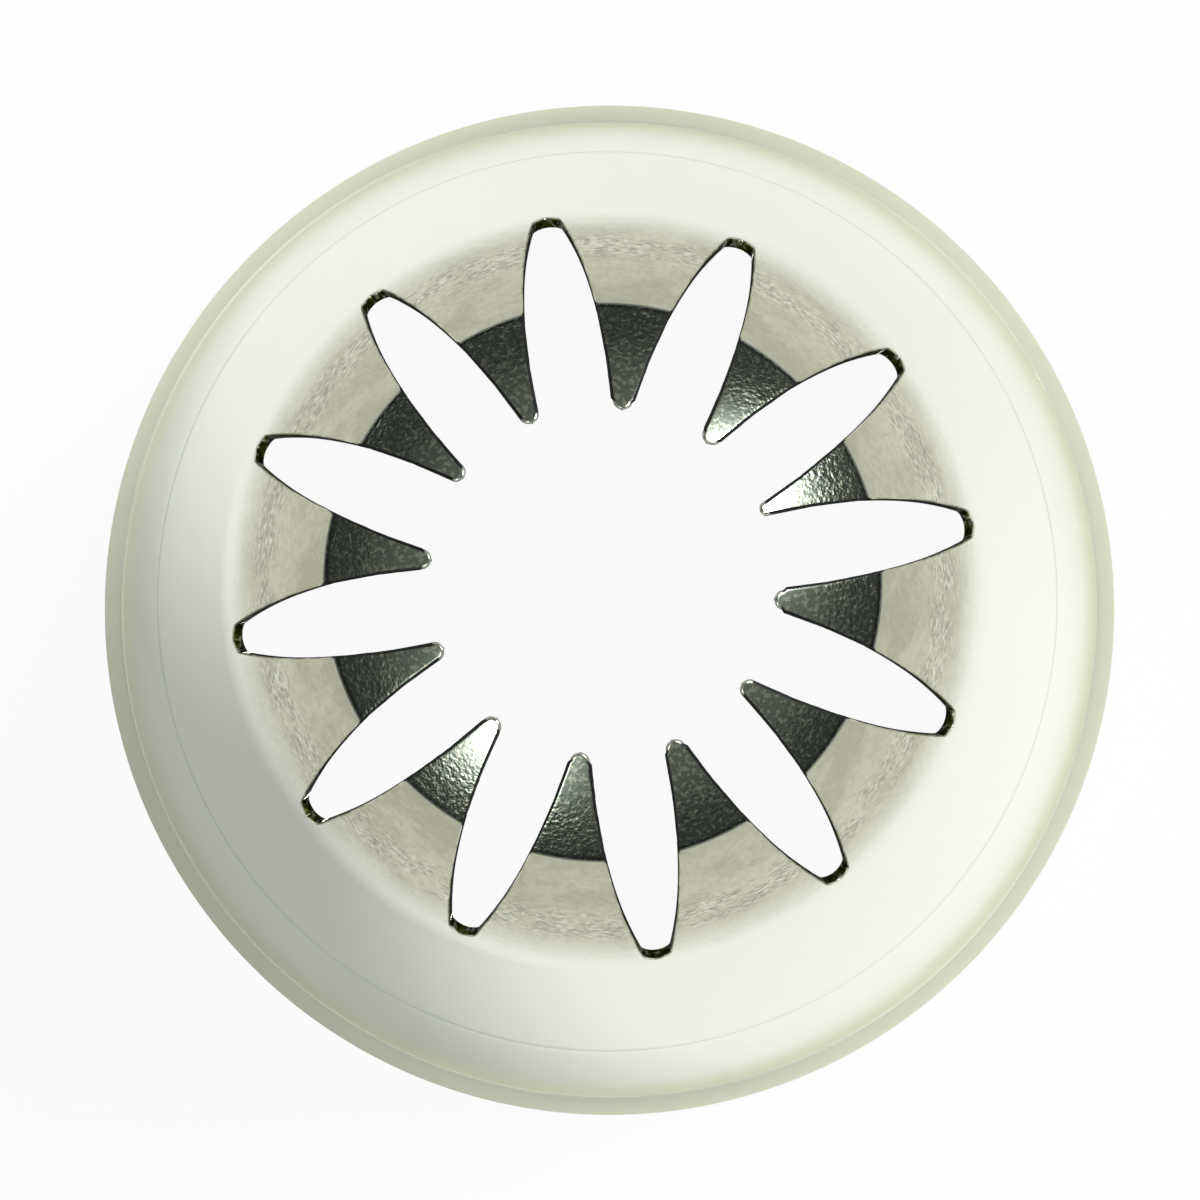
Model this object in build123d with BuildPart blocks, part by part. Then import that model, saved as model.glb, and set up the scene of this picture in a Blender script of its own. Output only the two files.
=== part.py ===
from build123d import *
import os

# A large star piping nozzle, drawn from one disc of stainless sheet.
# It stands on its rolled rim: the origin is the centre of the base, and +Z runs up to the tips.
os.makedirs("parts", exist_ok=True)

# Overall sizes, in millimetres
rim_diameter = 32.0
height = 44.0
sheet = 0.3

# Rolled bead round the base, and the plain collar of wall that is formed with it
bead_width = 0.8
bead_height = 1.1
bead_round = 0.3
collar_height = 0.5

# Two drawn cones, which meet at a fine line, and the rounded crown that starts at the shoulder
draw_line_diameter = 26.36
draw_line_height = 16.1
shoulder_diameter = 20.3
crown_rise = 8.8

# Crease where the ends of the teeth bend in, with its bend in degrees, and the mouth between the tips
crease_diameter = 14.0
crease_round = 1.0
crease_bend = 32.0
mouth_diameter = 8.56
tip_rise = 1.2

# Teeth, and the slots between them, with slot lengths measured along the sheet down from the crease
tooth_count = 12
slot_length = 7.8
slot_end_width = 0.7
slot_width = 1.85
tooth_root_rise = 1.0
tip_round = 0.25

# Overrun of the cuts past what they cut
overrun = 0.1

# Places that follow from these sizes
pitch = 360 / tooth_count
rim_radius = rim_diameter / 2
foot_radius = rim_radius - bead_width + sheet
foot_height = bead_height / 2
collar_top = bead_height + collar_height
crease_height = height - tip_rise
shoulder_height = crease_height - crown_rise
tooth_reach = (shoulder_diameter - mouth_diameter) / 2
outer_to_inner_shares = (1, 0.5, 0)


def inside(edge, share):
    """Point of the sheet's inner face that lies across from a point of its outer face."""
    return edge @ share + (edge % share).rotate(Axis.Z, 90) * sheet


# Section of the sheet: up its outer face from the foot to a tip, then back down its inner face
with BuildSketch() as sheet_section:
    with BuildLine():
        lower_line = Line((foot_radius, foot_height), (draw_line_diameter / 2, draw_line_height))
        upper_line = Line(lower_line @ 1, (shoulder_diameter / 2, shoulder_height))
        crown_arc = TangentArc(
            upper_line @ 1, (crease_diameter / 2, crease_height), tangent=upper_line % 1
        )
        crease_arc = JernArc(crown_arc @ 1, crown_arc % 1, crease_round, crease_bend)
        end_arc = TangentArc(
            crease_arc @ 1, (mouth_diameter / 2, height), tangent=crease_arc % 1
        )
        tip_run = Line(end_arc @ 1, end_arc @ 1 + (end_arc % 1) * overrun)
        Line(tip_run @ 1, inside(tip_run, 1))
        Line(inside(tip_run, 1), inside(end_arc, 1))
        for arc in (end_arc, crease_arc, crown_arc):
            ThreePointArc(*[inside(arc, share) for share in outer_to_inner_shares])
        Line(inside(crown_arc, 0), inside(lower_line, 1))
        Line(inside(lower_line, 1), inside(lower_line, 0))
        Line(inside(lower_line, 0), lower_line @ 0)
    make_face()


def sheet_between(lower, upper):
    """Add the sheet's section between two heights to the sketch being drawn."""
    add(sheet_section.sketch_local)
    with Locations((0, lower)):
        Rectangle(rim_diameter, upper - lower, align=Align.MIN, mode=Mode.INTERSECT)


# Slot cutter on +X, square to the sheet where the slot ends: it widens up to the crease
slot_share = 1 - slot_length / crown_arc.length
slot_end = crown_arc @ slot_share
up_sheet = crown_arc % slot_share
tooth_root_height = slot_end.Y + tooth_root_rise
slot_plane = Plane(
    origin=(slot_end.X, 0, slot_end.Y), x_dir=(0, 1, 0), z_dir=(up_sheet.Y, 0, -up_sheet.X)
)

with BuildPart() as slot_cutter:
    with BuildSketch(slot_plane):
        with Locations((0, slot_end_width / 2)):
            Circle(slot_end_width / 2)
        with Locations((0, slot_length)):
            Rectangle(slot_width, slot_length, align=(Align.CENTER, Align.MIN))
        make_hull()
    extrude(amount=tooth_reach, both=True)

# Rolled rim: the bead round the base, with the collar above it
with BuildPart() as rolled_rim:
    with BuildSketch(Plane.XZ):
        sheet_between(foot_height, collar_top)
        with Locations((rim_radius, 0)):
            RectangleRounded(bead_width, bead_height, bead_round, align=(Align.MAX, Align.MIN))
    revolve(axis=Axis.Z)
rolled_rim.part.label = "rolled_rim"

# Lower wall: the first drawn cone, up to the fine line
with BuildPart() as lower_wall:
    with BuildSketch(Plane.XZ):
        sheet_between(collar_top, draw_line_height)
    revolve(axis=Axis.Z)
lower_wall.part.label = "lower_wall"

# Upper wall: the second drawn cone, up to the shoulder
with BuildPart() as upper_wall:
    with BuildSketch(Plane.XZ):
        sheet_between(draw_line_height, shoulder_height)
    revolve(axis=Axis.Z)
upper_wall.part.label = "upper_wall"

# Shoulder: the ring that carries the teeth, notched by the closed ends of the slots
with BuildPart() as shoulder:
    with BuildSketch(Plane.XZ):
        sheet_between(shoulder_height, tooth_root_height)
    revolve(axis=Axis.Z)
    with PolarLocations(0, tooth_count):
        add(slot_cutter.part, mode=Mode.SUBTRACT)
shoulder.part.label = "shoulder"

# Rounded outline of one tooth's tip, seen from above: it widens faster than the tooth does
with BuildPart() as tip_outline:
    with BuildSketch():
        with PolarLocations(mouth_diameter / 2 + tip_round, 1, start_angle=pitch / 2):
            Circle(tip_round)
        with PolarLocations(shoulder_diameter / 2, 1, start_angle=pitch / 2):
            Circle(tooth_reach / 2)
        make_hull()
    extrude(amount=height + overrun)

# Tooth: one sector of the crown between two slots, with a rounded tip
with BuildPart() as tooth:
    with BuildSketch(Plane.XZ):
        sheet_between(tooth_root_height, height + overrun)
    revolve(axis=Axis.Z, revolution_arc=pitch)
    with Locations(Rotation(0, 0, 0), Rotation(0, 0, pitch)):
        add(slot_cutter.part, mode=Mode.SUBTRACT)
    add(tip_outline.part, mode=Mode.INTERSECT)

for piece in (rolled_rim, lower_wall, upper_wall, shoulder):
    export_step(piece.part, f"parts/{piece.part.label}.step")

for index in range(tooth_count):
    with BuildPart() as placed_tooth:
        with Locations(Rotation(0, 0, index * pitch)):
            add(tooth.part)
    placed_tooth.part.label = f"tooth_{index + 1:02d}"
    export_step(placed_tooth.part, f"parts/{placed_tooth.part.label}.step")
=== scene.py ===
import math

import bmesh
import bpy
from mathutils import Matrix, Vector, noise


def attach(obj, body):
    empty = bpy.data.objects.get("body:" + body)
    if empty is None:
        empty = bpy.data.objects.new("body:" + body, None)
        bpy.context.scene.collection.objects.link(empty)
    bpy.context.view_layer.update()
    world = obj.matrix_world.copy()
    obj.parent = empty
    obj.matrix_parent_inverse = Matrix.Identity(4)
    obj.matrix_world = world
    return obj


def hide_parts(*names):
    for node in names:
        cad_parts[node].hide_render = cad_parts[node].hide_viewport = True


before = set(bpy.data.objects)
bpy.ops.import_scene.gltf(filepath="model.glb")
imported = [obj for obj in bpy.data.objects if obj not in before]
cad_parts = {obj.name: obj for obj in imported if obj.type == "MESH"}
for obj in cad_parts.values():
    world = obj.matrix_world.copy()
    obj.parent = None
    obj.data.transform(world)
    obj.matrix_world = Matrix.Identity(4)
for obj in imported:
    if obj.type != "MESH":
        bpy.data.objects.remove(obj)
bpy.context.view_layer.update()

# Lengths are in millimetres until a mesh, a lamp or the camera is made, and MM turns them into metres.
MM = 0.001

# Sizes of the drawn sheet, which the frame's solids share
RIM_RADIUS = 16.0
HEIGHT = 44.0
SHEET = 0.3
BEAD_WIDTH = 0.8
BEAD_HEIGHT = 1.1
COLLAR_TOP = 1.6
DRAW_LINE = (13.18, 16.1)
SHOULDER = (10.15, 34.0)
CREASE = (7.0, 42.8)
CREASE_ROUND = 0.15
CREASE_BEND = math.radians(32)
TIP = (4.28, HEIGHT)

# Sizes of the slots and the tips of the teeth
TOOTH_COUNT = 12
PITCH = 2 * math.pi / TOOTH_COUNT
SLOT_LENGTH = 7.8
SLOT_END_WIDTH = 0.65
ROOT_RISE = 1.0
TIP_ROUND = 0.25

# Rounding of the sheet's outer edge, and the length and squareness of a slot's rounded closed end
EDGE_ROUND = 0.035
SLOT_END_LENGTH = 0.65
SLOT_END_SQUARENESS = 1.85

# How far each slot is turned from its even place, in degrees, from the slot on +X round
SLOT_TURNS = (1.4, -0.4, -0.2, 0.6, 0.3, -0.4, -0.4, -0.9, -0.9, -0.2, 0.6, 0.1)


# The sheet's outer face, followed from the foot up to a tip

def line_run(start, end):
    """A straight run of the section: its start, heading from upright, curvature and length."""
    inward, up = start[0] - end[0], end[1] - start[1]
    return start, math.atan2(inward, up), 0.0, math.hypot(inward, up)


def arc_run(start, heading, end):
    """A round run that leaves its start with a given heading and goes through its end."""
    inward, up = start[0] - end[0], end[1] - start[1]
    half_turn = math.atan2(inward, up) - heading
    radius = math.hypot(inward, up) / (2 * math.sin(half_turn))
    return start, heading, 1 / radius, 2 * half_turn * radius


def point_on(run, distance):
    """Radius, height and heading at a distance along a run."""
    (radius, height), heading, curvature, _ = run
    if not curvature:
        return radius - distance * math.sin(heading), height + distance * math.cos(heading), heading
    turned = heading + curvature * distance
    radius += (math.cos(turned) - math.cos(heading)) / curvature
    height += (math.sin(turned) - math.sin(heading)) / curvature
    return radius, height, turned


def end_of(run):
    """Place and heading where a run ends."""
    radius, height, heading = point_on(run, run[3])
    return (radius, height), heading


FOOT = (RIM_RADIUS - BEAD_WIDTH + SHEET, BEAD_HEIGHT / 2)
lower_run = line_run(FOOT, DRAW_LINE)
upper_run = line_run(DRAW_LINE, SHOULDER)
crown_run = arc_run(SHOULDER, upper_run[1], CREASE)
crease_run = (CREASE, end_of(crown_run)[1], 1 / CREASE_ROUND, CREASE_ROUND * CREASE_BEND)
end_run = arc_run(*end_of(crease_run), TIP)
RUNS = (lower_run, upper_run, crown_run, crease_run, end_run)

# Distances along the section at which its parts begin and end
COLLAR_S = (COLLAR_TOP - FOOT[1]) / math.cos(lower_run[1])
DRAW_LINE_S = lower_run[3]
SHOULDER_S = DRAW_LINE_S + upper_run[3]
CREASE_S = SHOULDER_S + crown_run[3]
BENT_S = CREASE_S + crease_run[3]
TIP_S = BENT_S + end_run[3]


def section(s):
    """Radius, height and heading of the outer face at a distance along the section."""
    for run in RUNS:
        if s <= run[3] or run is end_run:
            return point_on(run, s)
        s -= run[3]


def beneath(s, depth):
    """Radius and height of the point at a depth under the outer face."""
    radius, height, heading = section(s)
    return radius - depth * math.cos(heading), height - depth * math.sin(heading)


# The slots: half their width at a height up the sheet from their closed end. A slot widens evenly at first,
# then ever less, and closes in a little at the tips. Its cut faces slant and lean a little.

SLOT_FLARE = 0.089
FLARE_END = 3.5
SLOT_EASE = 0.006
WIDEST_RISE = 9.3
TIP_CLOSING = 0.05
END_SLANT = 0.02
TOOTH_SLANT = 0.008
CUT_LEAN = 0.6
END_LIFT = 0.22

slot_foot = point_on(crown_run, crown_run[3] - SLOT_LENGTH)
SLOT_S = CREASE_S - SLOT_LENGTH
ROOT_S = SLOT_S + ROOT_RISE / math.cos(slot_foot[2])


def half_width(rise):
    """Half the width of a slot, with its rounded closed end."""
    rise = max(rise, 0)
    width = SLOT_END_WIDTH / 2 + SLOT_FLARE * rise - SLOT_EASE * max(rise - FLARE_END, 0) ** 2
    width -= TIP_CLOSING * max(rise - WIDEST_RISE, 0)
    if rise < SLOT_END_LENGTH:
        fall = 1 - rise / SLOT_END_LENGTH
        width *= (1 - fall**SLOT_END_SQUARENESS) ** (1 / SLOT_END_SQUARENESS)
    return width


def slant(rise, depth):
    """How much further out a slot's edge lies at a depth than at the sheet's inner face."""
    share = min(max(rise / SLOT_LENGTH, 0), 1)
    return (END_SLANT + (TOOTH_SLANT - END_SLANT) * share) * (1 - depth / SHEET)


def cut_lean(s, depth):
    """How much nearer a slot's edge lies at a depth, because its cut faces lean towards upright."""
    flare = SLOT_FLARE - 2 * SLOT_EASE * max(s - SLOT_S - FLARE_END, 0)
    return max(flare, 0) * CUT_LEAN * (SHEET - depth) / math.tan(section(s)[2])


def slot_bottom(depth):
    """Distance at which a slot closes, which lies a little higher on the outer face."""
    return SLOT_S - slant(0, depth) + END_LIFT * (1 - depth / SHEET)


def slot_reach(s, depth):
    """Angle between a slot's middle and its edge, at a place on the sheet."""
    rise = s - SLOT_S
    if s < ROOT_S:
        bottom = slot_bottom(depth)
        rise = (s - bottom) * (ROOT_S - SLOT_S) / (ROOT_S - bottom)
    half = half_width(rise)
    edge = half + (slant(rise, depth) - cut_lean(s, depth)) * min(4 * half / SLOT_END_WIDTH, 1)
    return math.asin(edge / beneath(s, depth)[0])


def slot_middle(index):
    return index * PITCH + math.radians(SLOT_TURNS[index % TOOTH_COUNT])


# Placing points: slow unevenness of the pressed sheet, one field for all the pieces

UNEVEN_SIZE = 6.0
UNEVEN_DEPTH = 0.006


def place(azimuth, s, depth):
    """Point of the sheet in metres, a little uneven as pressed sheet is."""
    radius, height, heading = section(s)
    spot = Vector((radius * math.cos(azimuth), radius * math.sin(azimuth), height)) / UNEVEN_SIZE
    depth += UNEVEN_DEPTH * (1 + noise.noise(spot))
    radius -= depth * math.cos(heading)
    height -= depth * math.sin(heading)
    return Vector((radius * math.cos(azimuth), radius * math.sin(azimuth), height)) * MM


def steps(start, end, size):
    """Evenly spaced values from start to end, about one size apart, both included."""
    count = max(1, round(abs(end - start) / size))
    return [start + (end - start) * i / count for i in range(count + 1)]


def eased_edge(count=4):
    """How far in, and how deep, the rounding of an edge lies, from the edge in, as shares of its radius."""
    angles = [math.pi / 2 * (1 - i / count) for i in range(count + 1)]
    return [(1 - math.sin(a), 1 - math.cos(a)) for a in angles]


EDGE_SHARES = eased_edge()

# Edges that bend more than this stay sharp, and points nearer than this, in metres, are welded
SHARP_ANGLE = math.radians(44)
WELD_DISTANCE = 1e-8

# Places of the materials after the first, on the walls and on the pieces of the crown
WALL_INNER = 1
CUT_FACE, RUBBED_AND_SHADED_EDGE, CROWN_INNER = 1, 2, 3


def grid(mesh, rows, closed=False, material=0):
    """Fill rows of vertices with faces."""
    for lower, upper in zip(rows, rows[1:]):
        count = len(lower)
        for i in range(count if closed else count - 1):
            j = (i + 1) % count
            corners = [lower[i], lower[j], upper[j], upper[i]]
            face = mesh.faces.new(corners)
            face.material_index = material
            face.smooth = True


def finish_piece(mesh, name, node, materials):
    """Weld a mesh, mark its sharp edges and make it the look of a node."""
    bmesh.ops.remove_doubles(mesh, verts=mesh.verts, dist=WELD_DISTANCE)
    bmesh.ops.dissolve_degenerate(mesh, edges=mesh.edges, dist=WELD_DISTANCE)
    bmesh.ops.recalc_face_normals(mesh, faces=mesh.faces)
    for edge in mesh.edges:
        edge.smooth = len(edge.link_faces) == 2 and edge.calc_face_angle() < SHARP_ANGLE
    data = bpy.data.meshes.new(name)
    mesh.to_mesh(data)
    mesh.free()
    for material in materials:
        data.materials.append(material)
    piece = bpy.data.objects.new(name, data)
    bpy.context.scene.collection.objects.link(piece)
    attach(piece, "root")
    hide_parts(node)
    return piece


# Fine line where the two drawn cones meet: the lower wall draws in a little, then steps back out

LINE_DEPTH = 0.022
LINE_RUN_IN = 1.3
LINE_RUN_OUT = 0.2


def line_depth(s):
    """How far the outer face lies in near the fine line."""
    before = min(max((s - DRAW_LINE_S + LINE_RUN_IN) / LINE_RUN_IN, 0), 1)
    after = min(max((s - DRAW_LINE_S) / LINE_RUN_OUT, 0), 1)
    return LINE_DEPTH * (before**2 if not after else 1 - after)


# Round pieces: the two walls and the rolled rim, with the steps between their rows

AROUND = 480
WALL_STEP = 0.8
RUN_IN_STEP = 0.1
RUN_OUT_STEP = 0.04
COLLAR_STEP = 0.12
COLLAR_INNER_STEP = 0.3


def ring_row(mesh, spot):
    """One closed row of vertices, with a place for each azimuth."""
    return [mesh.verts.new(spot(2 * math.pi * i / AROUND)) for i in range(AROUND)]


def wall(name, distances, materials):
    """A stretch of the plain wall, outside and inside."""
    mesh = bmesh.new()
    rows = [ring_row(mesh, lambda a, s=s: place(a, s, line_depth(s))) for s in distances]
    inner = [ring_row(mesh, lambda a, s=s: place(a, s, SHEET)) for s in (distances[-1], distances[0])]
    grid(mesh, rows, closed=True)
    grid(mesh, rows[-1:] + inner + rows[:1], closed=True, material=WALL_INNER)
    return finish_piece(mesh, name + "_look", name, materials)


def make_lower_wall(materials):
    """The first drawn cone, up to the fine line."""
    line_start = DRAW_LINE_S - LINE_RUN_IN
    plain = steps(COLLAR_S, line_start, WALL_STEP)
    wall("lower_wall", plain + steps(line_start, DRAW_LINE_S, RUN_IN_STEP)[1:], materials)


def make_upper_wall(materials):
    """The second drawn cone, from the fine line up to the shoulder."""
    line_end = DRAW_LINE_S + LINE_RUN_OUT
    line = steps(DRAW_LINE_S, line_end, RUN_OUT_STEP)
    wall("upper_wall", line + steps(line_end, SHOULDER_S, WALL_STEP)[1:], materials)


BEAD_RADIUS = 15.99
CREST_RADIUS = 15.41
CREST_ANGLE = 90
SLOPE_SQUARENESS = 1.05
UNDER_SQUARENESS = 2.2
OVAL_STEP = 9


def oval(centre, wide, tall, start, end, squareness):
    """Points along part of an oval that may be flatter or squarer than an ellipse, in degrees from +R."""
    points = []
    for angle in steps(start, end, OVAL_STEP):
        c, s = math.cos(math.radians(angle)), math.sin(math.radians(angle))
        out = math.copysign(abs(c) ** (2 / squareness), c)
        up = math.copysign(abs(s) ** (2 / squareness), s)
        points.append((centre[0] + wide * out, centre[1] + tall * up))
    return points


def bead_points():
    """The rolled bead in section, from the wall down its slope, and under to the inside."""
    middle = BEAD_HEIGHT / 2
    wide = BEAD_RADIUS - CREST_RADIUS
    points = oval((CREST_RADIUS, middle), wide, middle, CREST_ANGLE, 0, SLOPE_SQUARENESS)
    under = (BEAD_RADIUS - BEAD_WIDTH / 2, middle)
    return points + oval(under, BEAD_WIDTH / 2, middle, 0, -180, UNDER_SQUARENESS)[1:-1]


def ring_point(radius, height):
    """A function from azimuth to a point of an even ring."""
    return lambda a: Vector((radius * math.cos(a), radius * math.sin(a), height)) * MM


def make_rim(materials):
    """The rolled rim: collar, bead and the inside of the foot."""
    mesh = bmesh.new()
    bead_s = (BEAD_HEIGHT - FOOT[1]) / math.cos(lower_run[1])
    outer_steps = steps(COLLAR_S, bead_s, COLLAR_STEP)
    inner_steps = steps(0, COLLAR_S, COLLAR_INNER_STEP)
    rows = [ring_row(mesh, lambda a, s=s: place(a, s, 0)) for s in outer_steps]
    rows += [ring_row(mesh, ring_point(*point)) for point in bead_points()]
    inner = [ring_row(mesh, lambda a, s=s: place(a, s, SHEET)) for s in inner_steps]
    grid(mesh, rows, closed=True)
    grid(mesh, rows[-1:] + inner + rows[:1], closed=True, material=WALL_INNER)
    return finish_piece(mesh, "rolled_rim_look", "rolled_rim", materials)


# Cut faces of the slots: coarse and lumpy, most of all at a slot's closed end

RAGGED_SIZE = 0.16
RAGGED_DEPTH = 0.02
ROOT_RAGGED = 0.3
TOOTH_RAGGED = 0.4
RAGGED_WIDTH = 1.0
BULGE = 0.05
CUT_SHARES = (0.25, 0.5, 0.75)


def ragged(point):
    """Small uneven push of a cut face into its slot, in metres."""
    return RAGGED_DEPTH * (0.5 + noise.noise(point / MM / RAGGED_SIZE)) * MM


def across_and_up(azimuth, s):
    """Unit vectors round the axis and up the sheet."""
    heading = section(s)[2]
    outward = Vector((math.cos(azimuth), math.sin(azimuth), 0))
    across = Vector((-math.sin(azimuth), math.cos(azimuth), 0))
    return across, Vector((0, 0, math.cos(heading))) - outward * math.sin(heading)


# The shoulder: in each pitch, rows that follow the closed end of the slot and spread to the pitch lines

NOTCH_STEP = 0.07
END_STEPS = 12
SPREAD_SHARES = (0.03, 0.07, 0.12, 0.18, 0.25, 0.33, 0.42, 0.52, 0.63, 0.75, 0.88, 1)


def notch_sides(depth):
    """Side and distance along a slot's edge: down one side, round the closed end and up the other."""
    bottom = slot_bottom(depth)
    down = steps(ROOT_S, SLOT_S + SLOT_END_LENGTH, NOTCH_STEP)
    down = [ROOT_S + (s - ROOT_S) * (ROOT_S - bottom) / (ROOT_S - SLOT_S) for s in down]
    for i in range(1, END_STEPS + 1):
        share = math.sin(math.pi / 2 * i / END_STEPS) ** (2 / SLOT_END_SQUARENESS)
        down.append(bottom + (down[-i] - bottom) * (1 - share))
    return [(-1, s) for s in down] + [(1, s) for s in reversed(down[:-1])]


def sector_border(index, count):
    """Azimuth and distance round the rest of a pitch, one for each point of the slot's edge."""
    left, right = (index - 0.5) * PITCH, (index + 0.5) * PITCH
    down = [(left, s) for s in steps(ROOT_S, SHOULDER_S, (ROOT_S - SHOULDER_S) / (count // 4))]
    up = [(right, s) for _, s in reversed(down)]
    bottom = count - 2 * len(down)
    across = [(left + (right - left) * (i + 1) / (bottom + 1), SHOULDER_S) for i in range(bottom)]
    return down + across + up, len(down) - 1


def outward_normals(edge):
    """Unit directions away from the slot along its edge, as parts round the axis and up the sheet."""
    normals = []
    for i in range(len(edge)):
        (a0, s0), (a1, s1) = edge[max(i - 1, 0)], edge[min(i + 1, len(edge) - 1)]
        round_part, up_part = s1 - s0, (a0 - a1) * slot_foot[0]
        length = math.hypot(round_part, up_part)
        normals.append((round_part / length, up_part / length))
    normals[0], normals[-1] = (-1, 0), (1, 0)
    return normals


def sheet_rows(mesh, edge, normals, border, depth, edge_depth):
    """Rows of one face of the sheet, from the rounded edge of the slot out to the border."""
    rows = []
    radius = slot_foot[0]
    for inset, sunk in EDGE_SHARES:
        far = inset * EDGE_ROUND
        sunk_depth = depth + sunk * (edge_depth - depth)
        rows.append([
            mesh.verts.new(place(a + out * far / radius, s + up * far, sunk_depth))
            for (a, s), (out, up) in zip(edge, normals)
        ])
    for share in SPREAD_SHARES:
        row = []
        for (a, s), (out, up), (border_a, border_s) in zip(edge, normals, border):
            near_a, near_s = a + out * EDGE_ROUND / radius, s + up * EDGE_ROUND
            spot = place(near_a + (border_a - near_a) * share, near_s + (border_s - near_s) * share, depth)
            row.append(mesh.verts.new(spot))
        rows.append(row)
    inside = edge_depth == SHEET
    grid(mesh, rows[:len(EDGE_SHARES)], material=CROWN_INNER if inside else RUBBED_AND_SHADED_EDGE)
    grid(mesh, rows[len(EDGE_SHARES) - 1:], material=CROWN_INNER if inside else 0)
    return rows


def notch_cut_row(mesh, index, normals, share):
    """One row of the cut face round a slot's closed end, at a share of its depth."""
    row = []
    depth = EDGE_ROUND + (SHEET - EDGE_ROUND) * share
    for (side, s), (out, up) in zip(notch_sides(depth), normals):
        azimuth = slot_middle(index) + side * slot_reach(s, depth)
        closed = min(max(1 - (s - SLOT_S) / (2 * SLOT_END_LENGTH), 0), 1)
        spot = place(azimuth, s, depth)
        push = BULGE * MM * closed * math.sin(math.pi * share) + ragged(spot) * (ROOT_RAGGED + closed)
        across, upward = across_and_up(azimuth, s)
        row.append(mesh.verts.new(spot - (across * out + upward * up) * push))
    return row


def add_notched_pitch(mesh, index):
    """The stretch of the shoulder round one slot."""
    count = len(notch_sides(0))
    border, corner = sector_border(index, count)
    faces = []
    for depth, edge_depth in ((0, EDGE_ROUND), (SHEET, SHEET)):
        sides = notch_sides(edge_depth)
        edge = [(slot_middle(index) + side * slot_reach(s, edge_depth), s) for side, s in sides]
        normals = outward_normals(edge)
        faces.append(sheet_rows(mesh, edge, normals, border, depth, edge_depth))
    outer, inner = faces
    cuts = [notch_cut_row(mesh, index, normals, share) for share in CUT_SHARES]
    grid(mesh, [outer[0]] + cuts + [inner[0]], material=CUT_FACE)
    grid(mesh, [rows[-1][corner:count - corner] for rows in faces])
    for end in (0, -1):
        ring = [row[end] for row in outer] + [row[end] for row in reversed(inner)]
        mesh.faces.new(ring + [row[end] for row in reversed(cuts)])


def make_shoulder(materials):
    """The ring that carries the teeth, with the closed ends of the slots."""
    mesh = bmesh.new()
    for index in range(TOOTH_COUNT):
        add_notched_pitch(mesh, index)
    return finish_piece(mesh, "shoulder_look", "shoulder", materials)


# Teeth: rows across from slot to slot, closing in round the tip

TIP_EDGE_ROUND = 0.09
TOOTH_COLUMNS = 14
TOOTH_STEP = 0.12
CREASE_STEP = 0.025
CREASE_MARGIN = 0.1
BENT_STEP = 0.07
TIP_STEPS = 9
TIP_CENTRE = TIP[0] + TIP_ROUND
TIP_HEADING = point_on(end_run, end_run[3])[2]

# How far each tip is pressed below its even height, and how far its edges lean, in millimetres
TIP_DROPS = (0.05, 0.02, 0.06, 0.03, 0.0, 0.05, 0.08, 0.03, 0.05, 0.02, 0.07, 0.04)
TIP_LEANS = (0.02, -0.03, 0.0, 0.02, -0.02, 0.03, 0.01, -0.02, 0.03, -0.01, 0.0, 0.02)


def tooth_distances():
    """Distances of a tooth's rows, close together at the crease and the tip."""
    crease_start, crease_end = CREASE_S - CREASE_MARGIN, BENT_S + CREASE_MARGIN
    tip_start = TIP_S - TIP_ROUND / math.sin(TIP_HEADING)
    rows = steps(ROOT_S, crease_start, TOOTH_STEP)[:-1]
    rows += steps(crease_start, crease_end, CREASE_STEP)[:-1]
    rows += steps(crease_end, tip_start, BENT_STEP)[:-1]
    for i in range(TIP_STEPS + 1):
        short = TIP_ROUND * (1 - math.cos(math.pi / 2 * (1 - i / TIP_STEPS)))
        rows.append(TIP_S - short / math.sin(TIP_HEADING))
    return rows


def bent_share(s):
    """0 at the crease, rising to 1 at the tip."""
    return min(max((s - CREASE_S) / (TIP_S - CREASE_S), 0), 1)


def tooth_sides(index, s, depth):
    """Azimuths of a tooth's two edges and the radius there, with the round tip."""
    radius = beneath(s, depth)[0]
    reach = slot_reach(s, depth)
    left, right = slot_middle(index) + reach, slot_middle(index + 1) - reach
    if radius < TIP_CENTRE:
        middle = (slot_middle(index) + slot_middle(index + 1)) / 2
        cosine = (radius**2 + TIP_CENTRE**2 - TIP_ROUND**2) / (2 * radius * TIP_CENTRE)
        limit = math.acos(min(cosine, 1))
        left, right = max(left, middle - limit), min(right, middle + limit)
    return left, max(right, left), radius


def outline_distance(index, azimuth, left, right, radius):
    """Distance in plan from a point of a tooth to its outline."""
    distance = min(azimuth - left, right - azimuth) * radius
    if radius < TIP_CENTRE:
        turn = azimuth - (slot_middle(index) + slot_middle(index + 1)) / 2
        squares = radius**2 + TIP_CENTRE**2 - 2 * radius * TIP_CENTRE * math.cos(turn)
        distance = min(distance, TIP_ROUND - math.sqrt(max(squares, 0)))
    return max(distance, 0)


def eased_depth(distance, edge):
    """Depth of a rounded edge's face at a distance in from the outline."""
    short = max(edge - distance, 0)
    return edge - math.sqrt(edge**2 - short**2)


def tooth_point(index, azimuth, s, depth):
    """Point of a tooth, with its tip pressed in and leaning a little."""
    middle = (slot_middle(index) + slot_middle(index + 1)) / 2
    lean = TIP_LEANS[index] * math.sin(azimuth - middle) * section(s)[0]
    bent = bent_share(s)
    slid = s - bent * depth / math.tan(TIP_HEADING)
    return place(azimuth, slid, depth + bent * (TIP_DROPS[index] + lean + abs(TIP_LEANS[index])))


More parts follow.
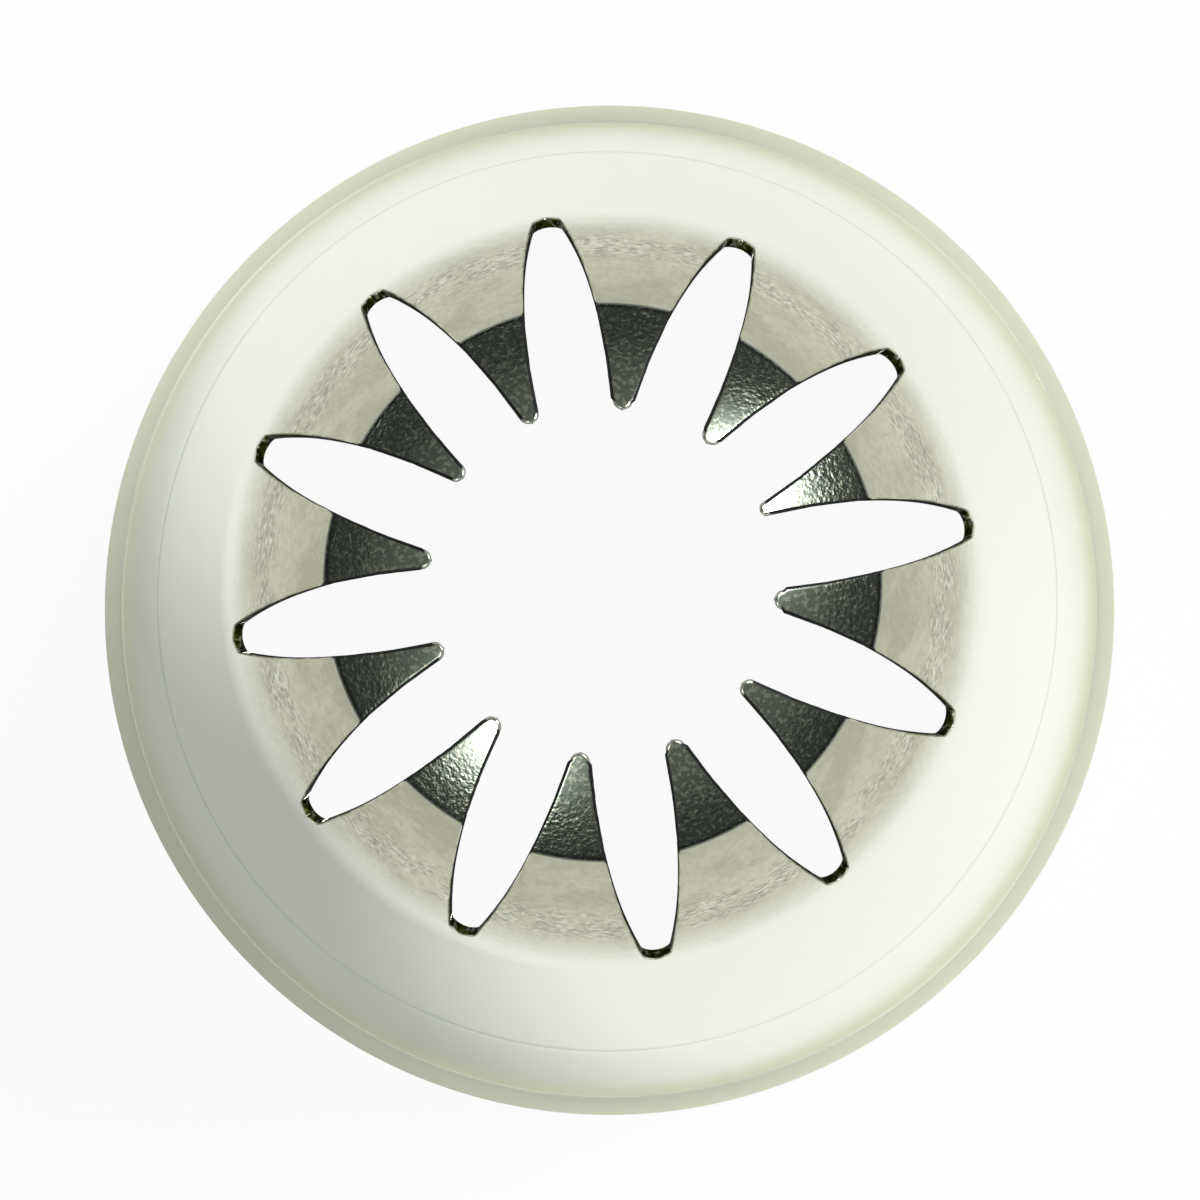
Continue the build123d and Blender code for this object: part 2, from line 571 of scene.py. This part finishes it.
def tooth_row(mesh, index, s, depth, rounded):
    """A row of vertices across a tooth on one face of the sheet, and the edge's own depth."""
    edge = EDGE_ROUND + (TIP_EDGE_ROUND - EDGE_ROUND) * bent_share(s)
    left, right, radius = tooth_sides(index, s, edge if rounded else depth)
    width = (right - left) * radius
    in_reach = min(edge, width / 2)
    offsets = [inset * in_reach for inset, _ in EDGE_SHARES]
    offsets += [in_reach + (width - 2 * in_reach) * i / TOOTH_COLUMNS for i in range(1, TOOTH_COLUMNS)]
    offsets += [width - inset * in_reach for inset, _ in reversed(EDGE_SHARES)]
    row = []
    for offset in offsets:
        azimuth = left + offset / radius
        sunk = eased_depth(outline_distance(index, azimuth, left, right, radius), edge) if rounded else 0
        row.append(mesh.verts.new(tooth_point(index, azimuth, s, depth + sunk)))
    return row, edge, width


def make_tooth(index, materials):
    """One tooth, from its root on the shoulder over the crease to its tip."""
    mesh = bmesh.new()
    outer, inner = [], []
    cuts = {side: [[] for _ in CUT_SHARES] for side in (0, 1)}
    for s in tooth_distances():
        row, edge, width = tooth_row(mesh, index, s, 0, True)
        outer.append(row)
        inner.append(tooth_row(mesh, index, s, SHEET, False)[0])
        for column, share in enumerate(CUT_SHARES):
            depth = edge + (SHEET - edge) * share
            azimuths = tooth_sides(index, s, depth)[:2]
            for side, sign in ((0, -1), (1, 1)):
                spot = tooth_point(index, azimuths[side], s, depth)
                across, _ = across_and_up(azimuths[side], s)
                push = sign * ragged(spot) * TOOTH_RAGGED * min(width / RAGGED_WIDTH, 1)
                cuts[side][column].append(mesh.verts.new(spot + across * push))
    columns = list(zip(*outer))
    eased = len(EDGE_SHARES)
    grid(mesh, columns[:eased], material=RUBBED_AND_SHADED_EDGE)
    grid(mesh, columns[eased - 1:1 - eased])
    grid(mesh, columns[-eased:], material=RUBBED_AND_SHADED_EDGE)
    grid(mesh, inner, material=CROWN_INNER)
    for side, end in ((0, 0), (1, -1)):
        columns = [[row[end] for row in outer]] + cuts[side] + [[row[end] for row in inner]]
        grid(mesh, columns, material=CUT_FACE)
    root = outer[0] + [column[0] for column in cuts[1]] + inner[0][::-1]
    mesh.faces.new(root + [column[0] for column in reversed(cuts[0])])
    node = f"tooth_{index + 1:02d}"
    return finish_piece(mesh, node + "_look", node, materials)


# Shader building

def add_node(tree, kind, inputs=None, **settings):
    """A shader node with its settings, and each input linked or set."""
    made = tree.nodes.new("ShaderNode" + kind)
    for name, value in settings.items():
        setattr(made, name, value)
    for key, value in (inputs or {}).items():
        if isinstance(value, bpy.types.NodeSocket):
            tree.links.new(value, made.inputs[key])
        else:
            made.inputs[key].default_value = value
    return made


def maths(tree, operation, *values):
    return add_node(tree, "Math", dict(enumerate(values)), operation=operation).outputs[0]


def times(tree, first, second):
    return maths(tree, "MULTIPLY", first, second)


def fade(tree, value, start, end):
    """Smooth rise from 0 to 1 as a value goes from start to end."""
    inputs = {"Value": value, "From Min": start, "From Max": end}
    return add_node(tree, "MapRange", inputs, interpolation_type="SMOOTHSTEP").outputs[0]


def blend(tree, share, first, second):
    return add_node(tree, "Mix", {0: share, 6: first, 7: second}, data_type="RGBA").outputs[2]


def shift(tree, share, first, second):
    """Number that goes from first to second with a share."""
    return add_node(tree, "Mix", {0: share, 2: first, 3: second}, data_type="FLOAT").outputs[0]


def grain(tree, vector, scale, detail):
    return add_node(tree, "TexNoise", {"Vector": vector, "Scale": scale, "Detail": detail}).outputs[0]


def ramp(tree, value, stops):
    """Level that follows a value through stops, each a value and a level."""
    made = add_node(tree, "ValToRGB", {0: value})
    made.color_ramp.interpolation = "EASE"
    elements = made.color_ramp.elements
    elements[0].position, elements[1].position = stops[0][0], stops[-1][0]
    for position, _ in stops[1:-1]:
        elements.new(position)
    for element, (_, level) in zip(elements, stops):
        element.color = (level, level, level, 1)
    return made.outputs[0]


def new_tree(name):
    material = bpy.data.materials.new(name)
    material.use_nodes = True
    material.node_tree.nodes.clear()
    return material, material.node_tree


def sheet_coordinates(tree):
    """The point in millimetres, its direction round the axis, its radius and its height."""
    metres = add_node(tree, "TexCoord").outputs["Object"]
    point = add_node(tree, "VectorMath", {0: metres, 3: 1 / MM}, operation="SCALE").outputs[0]
    flat = add_node(tree, "VectorMath", {0: point, 1: (1, 1, 0)}, operation="MULTIPLY").outputs[0]
    radius = add_node(tree, "VectorMath", {0: flat}, operation="LENGTH").outputs[1]
    around = add_node(tree, "VectorMath", {0: flat}, operation="NORMALIZE").outputs[0]
    height = add_node(tree, "SeparateXYZ", {0: point}).outputs[2]
    return point, around, radius, height


def wound(tree, around, value, round_scale, along_scale):
    """Seamless vector round the axis, with one scale round it and another along a value."""
    along = times(tree, value, along_scale)
    lifted = add_node(tree, "CombineXYZ", {2: along}).outputs[0]
    scaled = add_node(tree, "VectorMath", {0: around, 3: round_scale}, operation="SCALE").outputs[0]
    return add_node(tree, "VectorMath", {0: scaled, 1: lifted}, operation="ADD").outputs[0]


def wound_grain(tree, around, height, round_scale, along_scale, detail):
    """Noise that runs seamlessly round the axis."""
    return grain(tree, wound(tree, around, height, round_scale, along_scale), 1.0, detail)


# Colours of the steel, part by part
WALL_TINT = (0.89, 0.913, 0.76, 1)
# Painted shade of the fine line's groove, darker on one side of the wall
LINE_SHADE_TINT = (0.40, 0.43, 0.35, 1)
CROWN_TINT = (0.68, 0.668, 0.515, 1)
CROWN_DARK_TINT = (0.50, 0.48, 0.355, 1)
CREASE_TINT = (0.45, 0.48, 0.38, 1)
# Painted shade and painted highlight along the short scratches of the crown
STROKE_SHADE_TINT = (0.30, 0.30, 0.24, 1)
STROKE_HIGHLIGHT_TINT = (0.93, 0.93, 0.84, 1)
# Painted shade as a thin dark line at the crease
CREASE_SHADE_TINT = (0.22, 0.24, 0.20, 1)
END_TINT = (0.50, 0.57, 0.46, 1)
# Painted highlight dots of the orange peel on the tooth ends
END_HIGHLIGHT_DOT_TINT = (0.97, 1.0, 0.78, 1)
BEAD_TINT = (0.83, 0.835, 0.675, 1)
EDGE_TINT = (0.86, 0.87, 0.74, 1)
EDGE_DULL_TINT = (0.58, 0.59, 0.46, 1)
# Painted shade on the rounded edges of the tooth ends
EDGE_SHADE_TINT = (0.06, 0.06, 0.06, 1)
INNER_TINT = (0.86, 0.87, 0.83, 1)
# Cut faces painted dark as the shade inside the slots, darker still higher up
CUT_SHADE_TINT = (0.13, 0.15, 0.04, 1)
CUT_DEEP_SHADE_TINT = (0.045, 0.045, 0.035, 1)
CUT_EDGE_TINT = (0.15, 0.15, 0.12, 1)
# Painted highlights as small bright spots on the cut faces
SPARK_HIGHLIGHT_TINT = (0.85, 0.86, 0.72, 1)

# Where the looks fade into each other, by height and by radius in millimetres
# Half height of the fine line's painted shade
LINE_SHADE_HALF_HEIGHT = 0.16
CROWN_HEIGHTS = (35.2, 38.6)
CREASE_BAND_HEIGHTS = (42.2, 42.7)
END_HEIGHTS = (42.80, 42.82)
# Heights of the painted shade line at the crease
CREASE_SHADE_HEIGHTS = (42.86, 42.92)
PEEL_HEIGHTS = (42.80, 42.86)
TIP_HEIGHTS = (43.25, 43.65)
# Heights over which the cut faces' painted shade deepens
CUT_DEEP_SHADE_HEIGHTS = (36.3, 38.5)
SCUFF_INNER_RADII = (8.15, 8.6)
SCUFF_OUTER_RADII = (8.85, 9.25)
BEAD_FADE_RADII = (15.45, 15.49)
# Radii where the painted shade on the tooth ends' edges begins, and where it gives way again at the tips
EDGE_SHADE_RADII = (7.08, 6.98)
EDGE_TIP_RADII = (4.52, 4.44)

# Side on which the fine line is painted darker, as shade in its groove, and how that painted shade fades in
# towards that side
LINE_SHADE_AZIMUTH = math.radians(131.6)
LINE_SHADE_SIDE = (math.cos(LINE_SHADE_AZIMUTH), math.sin(LINE_SHADE_AZIMUTH), 0)
LINE_SHADE_FACING = (-0.1, 0.5)

# Noises of the steel: scale and detail, or scale round the axis, scale along the height and detail
GRAINS = {"smudge_and_shade_noise": (0.7, 3), "patches": (5.0, 3), "stroke_patches": (1.1, 1), "peel": (9.0, 1),
          "highlight_dots": (8.0, 1)}
WOUND_GRAINS = {"drawn": (9, 2.2, 4), "up": (120, 0.5, 2), "strokes": (46, 11, 2), "hairs": (42, 0.35, 2)}
INNER_GRAIN = (3, 4, 3)
RUB_GRAIN = (1.5, 3)
LUMP_GRAIN = (4.5, 2)

# Levels of the noises between which their marks fade in
# Levels of the noise that breaks up the fine line's painted shade
LINE_SHADE_NOISE_LEVELS = (0.1, 0.5)
STROKE_PATCH_LEVELS = (0.3, 0.5)
# Noise levels of the strokes' painted shade and painted highlight
STROKE_SHADE_LEVELS = (0.54, 0.58)
STROKE_HIGHLIGHT_LEVELS = (0.42, 0.38)
# Noise levels of the tooth ends' painted highlight dots
HIGHLIGHT_DOT_LEVELS = (0.53, 0.62)
RUB_LEVELS = (0.45, 0.6)
# Noise levels of the cut faces' painted highlight spots
SPARK_HIGHLIGHT_LEVELS = (0.54, 0.6)

# What darkens the crown: smudges, patches and fine hairs of wear, and the height, darker towards the
# crease; the values between which each fades in, and its share of the darkening
CROWN_DARKENING = {"smudge_and_shade_noise": (0.4, 0.62, 0.5), "patches": (0.35, 0.7, 0.35), "height": (39.0, 42.6, 0.4),
        "off_hair": (0.012, 0.0, 0.35)}
CREASE_BAND_SHARE = 0.3
# Shares of the strokes' painted shade and painted highlight
STROKE_SHADE_SHARE = 0.7
STROKE_HIGHLIGHT_SHARE = 0.5

# Roughness of each part, as two values where a noise goes between them
WALL_ROUGHNESS = (0.13, 0.2)
CROWN_ROUGHNESS = (0.3, 0.44)
END_ROUGHNESS = 0.13
BEAD_ROUGHNESS = 0.4
INNER_ROUGHNESS = (0.4, 0.55)
EDGE_ROUGHNESS = (0.15, 0.4)
CUT_ROUGHNESS = 0.3

# Depth of the relief in millimetres, and how much of it each noise takes
RELIEF_DEPTH = 0.004
LUMP_DEPTH = 0.08
WALL_RELIEF = 0.3
UP_RELIEF = 0.7
PATCH_RELIEF = 0.6
STROKE_RELIEF = 2.5
PEEL_RELIEFS = (2.5, 0.4)


def add_metal(tree, inputs):
    """Metal shader as the surface of a material."""
    shader = add_node(tree, "BsdfPrincipled", {"Metallic": 1.0, **inputs})
    add_node(tree, "OutputMaterial", {0: shader.outputs[0]})


def bump(tree, relief, depth):
    """Normal of a surface with a relief of a depth in millimetres."""
    return add_node(tree, "Bump", {"Height": relief, "Distance": depth * MM}).outputs[0]


def steel_noises(tree, point, around, height):
    """The steel's noises by name."""
    noises = {name: grain(tree, point, *sizes) for name, sizes in GRAINS.items()}
    for name, sizes in WOUND_GRAINS.items():
        noises[name] = wound_grain(tree, around, height, *sizes)
    return noises


def stroke_masks(tree, noises, radius):
    """Where the dark and the bright strokes of the scuffed ring lie: the dark ones carry painted shade of
    the scratches, the bright ones painted highlight.
    """
    inner = fade(tree, radius, *SCUFF_INNER_RADII)
    outer = maths(tree, "SUBTRACT", 1.0, fade(tree, radius, *SCUFF_OUTER_RADII))
    patches = fade(tree, noises["stroke_patches"], *STROKE_PATCH_LEVELS)
    scuffed = times(tree, times(tree, inner, outer), patches)
    dark = times(tree, scuffed, fade(tree, noises["strokes"], *STROKE_SHADE_LEVELS))
    bright = times(tree, scuffed, fade(tree, noises["strokes"], *STROKE_HIGHLIGHT_LEVELS))
    return dark, bright


def wall_tint(tree, noises, around, height):
    """Colour of the plain wall, with painted shade darkening the fine line on one side, broken up by the
    smudge noise.
    """
    facing = add_node(tree, "VectorMath", {0: around, 1: LINE_SHADE_SIDE}, operation="DOT_PRODUCT").outputs[1]
    off_line = maths(tree, "ABSOLUTE", maths(tree, "SUBTRACT", height, DRAW_LINE[1]))
    on_line = times(tree, fade(tree, off_line, LINE_SHADE_HALF_HEIGHT, 0.0), fade(tree, facing, *LINE_SHADE_FACING))
    shown = times(tree, on_line, fade(tree, noises["smudge_and_shade_noise"], *LINE_SHADE_NOISE_LEVELS))
    return blend(tree, shown, WALL_TINT, LINE_SHADE_TINT)


def crown_tint(tree, noises, strokes, height):
    """Colour of the crown: worn in patches and fine hairs and darker towards the crease, with short strokes
    that carry painted shade and painted highlight, and a band at the crease.
    """
    off_hair = maths(tree, "ABSOLUTE", maths(tree, "SUBTRACT", noises["hairs"], 0.5))
    causes = {**noises, "height": height, "off_hair": off_hair}
    darkened = 0.0
    for cause, (start, end, share) in CROWN_DARKENING.items():
        darkened = maths(tree, "ADD", darkened, times(tree, fade(tree, causes[cause], start, end), share))
    tint = blend(tree, maths(tree, "MINIMUM", darkened, 1.0), CROWN_TINT, CROWN_DARK_TINT)
    band = fade(tree, height, *CREASE_BAND_HEIGHTS)
    dark, bright = strokes
    tint = blend(tree, times(tree, band, CREASE_BAND_SHARE), tint, CREASE_TINT)
    tint = blend(tree, times(tree, dark, STROKE_SHADE_SHARE), tint, STROKE_SHADE_TINT)
    return blend(tree, times(tree, bright, STROKE_HIGHLIGHT_SHARE), tint, STROKE_HIGHLIGHT_TINT)


def end_tint(tree, noises, height):
    """Colour of the tooth ends: mottled with painted highlight dots, with painted shade as a dark line at
    the crease.
    """
    mottled = blend(tree, fade(tree, noises["highlight_dots"], *HIGHLIGHT_DOT_LEVELS), END_TINT, END_HIGHLIGHT_DOT_TINT)
    return blend(tree, fade(tree, height, *CREASE_SHADE_HEIGHTS), CREASE_SHADE_TINT, mottled)


def steel_relief(tree, noises, crown, dark_strokes, height):
    """Relief of the wall, of the crown with its strokes, and of the tooth ends."""
    wall_relief = times(tree, noises["drawn"], WALL_RELIEF)
    up, patches = times(tree, noises["up"], UP_RELIEF), times(tree, noises["patches"], PATCH_RELIEF)
    crown_relief = maths(tree, "ADD", up, patches)
    crown_relief = maths(tree, "SUBTRACT", crown_relief, times(tree, dark_strokes, STROKE_RELIEF))
    relief = shift(tree, crown, wall_relief, crown_relief)
    peel = times(tree, noises["peel"], shift(tree, fade(tree, height, *TIP_HEIGHTS), *PEEL_RELIEFS))
    return shift(tree, fade(tree, height, *PEEL_HEIGHTS), relief, peel)


def steel(name):
    """Drawn sheet steel: bright wall with its fine line in painted shade on one side, scuffed crown with
    painted shade and painted highlight along its strokes, tooth ends mottled with painted highlight dots
    and a painted shade line at the crease, and a duller rolled bead.
    """
    material, tree = new_tree(name)
    point, around, radius, height = sheet_coordinates(tree)
    noises = steel_noises(tree, point, around, height)
    strokes = stroke_masks(tree, noises, radius)
    crown = fade(tree, height, *CROWN_HEIGHTS)
    ends = fade(tree, height, *END_HEIGHTS)
    bead = fade(tree, radius, *BEAD_FADE_RADII)

    wall_part = wall_tint(tree, noises, around, height)
    crown_part = crown_tint(tree, noises, strokes, height)
    tint = blend(tree, crown, wall_part, crown_part)
    tint = blend(tree, ends, tint, end_tint(tree, noises, height))
    tint = blend(tree, bead, tint, BEAD_TINT)

    wall_part = shift(tree, noises["drawn"], *WALL_ROUGHNESS)
    crown_part = shift(tree, noises["patches"], *CROWN_ROUGHNESS)
    roughness = shift(tree, crown, wall_part, crown_part)
    roughness = shift(tree, ends, roughness, END_ROUGHNESS)
    roughness = shift(tree, bead, roughness, BEAD_ROUGHNESS)

    relief = steel_relief(tree, noises, crown, strokes[0], height)
    normal = bump(tree, relief, RELIEF_DEPTH)
    add_metal(tree, {"Base Color": tint, "Roughness": roughness, "Normal": normal})
    return material


def edge_steel(name):
    """Rounded edges of the slots: rubbed bright in places, with painted shade making them dark on the tooth
    ends but for the tips.
    """
    material, tree = new_tree(name)
    point, _, radius, _ = sheet_coordinates(tree)
    rubs = grain(tree, point, *RUB_GRAIN)
    tint = blend(tree, fade(tree, rubs, *RUB_LEVELS), EDGE_DULL_TINT, EDGE_TINT)
    tint = blend(tree, fade(tree, radius, *EDGE_SHADE_RADII), tint, EDGE_SHADE_TINT)
    tint = blend(tree, fade(tree, radius, *EDGE_TIP_RADII), tint, EDGE_TINT)
    roughness = shift(tree, rubs, *EDGE_ROUGHNESS)
    add_metal(tree, {"Base Color": tint, "Roughness": roughness, "Specular Tint": CUT_EDGE_TINT})
    return material


def cut_steel(name):
    """Cut faces of the slots: painted dark as the shade inside the slots, darker still higher up, uneven,
    with small painted highlights as bright spots.
    """
    material, tree = new_tree(name)
    point, _, _, height = sheet_coordinates(tree)
    lumps = grain(tree, point, *LUMP_GRAIN)
    tint = blend(tree, fade(tree, lumps, *SPARK_HIGHLIGHT_LEVELS), CUT_SHADE_TINT, SPARK_HIGHLIGHT_TINT)
    tint = blend(tree, fade(tree, height, *CUT_DEEP_SHADE_HEIGHTS), tint, CUT_DEEP_SHADE_TINT)
    normal = bump(tree, lumps, LUMP_DEPTH)
    add_metal(tree, {
        "Base Color": tint, "Roughness": CUT_ROUGHNESS, "Specular Tint": CUT_EDGE_TINT, "Normal": normal})
    return material


def inner_steel(name):
    """The sheet's inner face: plain drawn steel, a little duller than the outside."""
    material, tree = new_tree(name)
    _, around, _, height = sheet_coordinates(tree)
    rings = wound_grain(tree, around, height, *INNER_GRAIN)
    roughness = shift(tree, rings, *INNER_ROUGHNESS)
    normal = bump(tree, rings, RELIEF_DEPTH)
    add_metal(tree, {"Base Color": INNER_TINT, "Roughness": roughness, "Normal": normal})
    return material


# Surroundings: pale floor, white behind, a soft lamp high up on one side and a dim ceiling

PHOTO_TURN = math.radians(-8.4)

# The floor: its size, its colour, and how bright it is shown to the camera and to mirrored rays
FLOOR_RADIUS = 1500.0
FLOOR_CORNERS = 128
FLOOR_DROP = 0.01
FLOOR_TINT = (0.94, 0.94, 0.93, 1)
FLOOR_SHOWN = 0.94
FLOOR_MIRRORED = 0.15

# Lamps: azimuth, tilt from overhead and spread in degrees, strength, and the glow round them in the room
LAMPS = {"key": (25, 30.5, 21, 1.97, 1.0), "back": (-131, 33, 22, 0.26, 0.9)}
GLOW_COSINES = (0.93, 1.0)

CAMERA_SPOT = (0.30, -3.30, 200.0)
CAMERA_AIM = (-0.25, 0.35, 0.0)
CAMERA_LENS = 188.9
CAMERA_SENSOR = 36.0
CAMERA_CLIP = 10.0

# Brightness of the room by the sine of the height above the horizon
ROOM_LEVELS = ((0.0, 0.9), (0.26, 0.9), (0.30, 0.75), (0.40, 0.35), (0.46, 0.1), (0.50, 0.04),
               (0.60, 0.04), (0.68, 0.09), (0.76, 0.15), (0.88, 0.18), (1.0, 0.25))

# Brightness of the room's sides by azimuth in degrees
SIDE_LEVELS = ((-180, 0.42), (-140, 0.45), (-98, 0.62), (-53, 1.0), (-8, 0.72), (37, 0.95), (82, 0.62),
               (127, 1.0), (180, 0.42))
ROOM_TINT = (0.96, 1.0, 0.985, 1)

# Where the sides end, by the sine of the height, and where the floor blends into them in mirrored rays
SIDE_TOP = (0.30, 0.46)
FAR_FLOOR = (60.0, 220.0)


def side_level(tree, direction):
    """Brightness of the side of the room that a direction points to."""
    turn = add_node(tree, "TexGradient", {"Vector": direction}, gradient_type="RADIAL").outputs[1]
    return ramp(tree, turn, [(0.5 + azimuth / 360, level) for azimuth, level in SIDE_LEVELS])


def make_floor():
    """Pale floor that reads white to the camera, with the nozzle's shadow left on it."""
    mesh = bmesh.new()
    bmesh.ops.create_circle(mesh, cap_ends=True, segments=FLOOR_CORNERS, radius=FLOOR_RADIUS * MM)
    data = bpy.data.meshes.new("floor")
    mesh.to_mesh(data)
    mesh.free()
    floor = bpy.data.objects.new("floor", data)
    bpy.context.scene.collection.objects.link(floor)
    floor.location.z = -FLOOR_DROP * MM

    material, tree = new_tree("floor_white")
    spot = add_node(tree, "TexCoord").outputs["Object"]
    distance = add_node(tree, "VectorMath", {0: spot}, operation="LENGTH").outputs[1]
    far = fade(tree, distance, FAR_FLOOR[0] * MM, FAR_FLOOR[1] * MM)
    path = add_node(tree, "LightPath").outputs
    mirrored = maths(tree, "MAXIMUM", path["Is Glossy Ray"], path["Is Transmission Ray"])
    shown = times(tree, path["Is Camera Ray"], FLOOR_SHOWN)
    glow = maths(tree, "MAXIMUM", shown, times(tree, mirrored, shift(tree, far, FLOOR_MIRRORED, 1.0)))
    side = times(tree, side_level(tree, spot), ROOM_LEVELS[0][1])
    strength = shift(tree, times(tree, mirrored, far), 1.0, side)
    matt = add_node(tree, "BsdfDiffuse", {"Color": FLOOR_TINT}).outputs[0]
    glow_tint = blend(tree, mirrored, (1, 1, 1, 1), ROOM_TINT)
    white = add_node(tree, "Emission", {"Color": glow_tint, "Strength": strength}).outputs[0]
    mixed = add_node(tree, "MixShader", {0: glow, 1: matt, 2: white}).outputs[0]
    add_node(tree, "OutputMaterial", {0: mixed})
    data.materials.append(material)


def lamp_turn(azimuth, tilt):
    """Turn that points a lamp's back to an azimuth and a tilt from overhead, in degrees."""
    turned = Matrix.Rotation(math.radians(azimuth), 4, "Z")
    return turned @ Matrix.Rotation(math.radians(tilt), 4, "Y")


def glow_share(tree, direction, towards):
    """Rise from 0 to 1 as a direction nears the one towards a lamp."""
    cosine = add_node(tree, "VectorMath", {0: direction, 1: towards}, operation="DOT_PRODUCT").outputs[1]
    return fade(tree, cosine, *GLOW_COSINES)


def make_world():
    """White behind the object, and a room that is pale round the sides and dim overhead."""
    world = bpy.data.worlds.new("room")
    world.use_nodes = True
    tree = world.node_tree
    tree.nodes.clear()
    direction = add_node(tree, "TexCoord").outputs["Generated"]
    up = add_node(tree, "SeparateXYZ", {0: direction}).outputs[2]
    side = shift(tree, fade(tree, up, *SIDE_TOP), side_level(tree, direction), 1.0)
    level = times(tree, ramp(tree, up, ROOM_LEVELS), side)
    for azimuth, tilt, _, _, glow in LAMPS.values():
        towards = (lamp_turn(azimuth, tilt) @ Vector((0, 0, 1)))[:]
        level = maths(tree, "ADD", level, times(tree, glow_share(tree, direction, towards), glow))
    camera_ray = add_node(tree, "LightPath").outputs["Is Camera Ray"]
    colour = blend(tree, camera_ray, ROOM_TINT, (1, 1, 1, 1))
    strength = shift(tree, camera_ray, level, 1.0)
    background = add_node(tree, "Background", {"Color": colour, "Strength": strength}).outputs[0]
    add_node(tree, "OutputWorld", {0: background})
    bpy.context.scene.world = world


def make_lamps():
    """Soft key light from high up on one side, and a weaker one across from it."""
    for name, (azimuth, tilt, spread, strength, _) in LAMPS.items():
        data = bpy.data.lights.new(name, "SUN")
        data.energy = strength
        data.angle = math.radians(spread)
        lamp = bpy.data.objects.new(name, data)
        bpy.context.scene.collection.objects.link(lamp)
        lamp.matrix_world = lamp_turn(azimuth, tilt)


def make_camera():
    """Camera straight above, a little off the axis, as in the photograph."""
    data = bpy.data.cameras.new("camera")
    data.lens = CAMERA_LENS
    data.sensor_width = CAMERA_SENSOR
    data.clip_start = CAMERA_CLIP * MM
    camera = bpy.data.objects.new("camera", data)
    bpy.context.scene.collection.objects.link(camera)
    spot, aim = Vector(CAMERA_SPOT) * MM, Vector(CAMERA_AIM) * MM
    back = (spot - aim).normalized()
    upward = Vector((math.cos(math.pi / 2 + PHOTO_TURN), math.sin(math.pi / 2 + PHOTO_TURN), 0))
    right = upward.cross(back).normalized()
    upward = back.cross(right)
    camera.matrix_world = Matrix.Translation(spot) @ Matrix((right, upward, back)).transposed().to_4x4()
    bpy.context.scene.camera = camera


drawn_steel = steel("drawn_steel_look")
crown_steel = steel("crown_steel_look")
cut_face = cut_steel("cut_steel_look")
rubbed_and_shaded_edge = edge_steel("edge_steel_look")
inner_face = inner_steel("inner_steel_look")

wall_materials = [drawn_steel, inner_face]
crown_materials = [crown_steel, cut_face, rubbed_and_shaded_edge, inner_face]

make_rim(wall_materials)
make_lower_wall(wall_materials)
make_upper_wall(wall_materials)
make_shoulder(crown_materials)
for tooth_index in range(TOOTH_COUNT):
    make_tooth(tooth_index, crown_materials)

make_floor()
make_world()
make_lamps()
make_camera()
bpy.context.scene.view_settings.view_transform = "Standard"
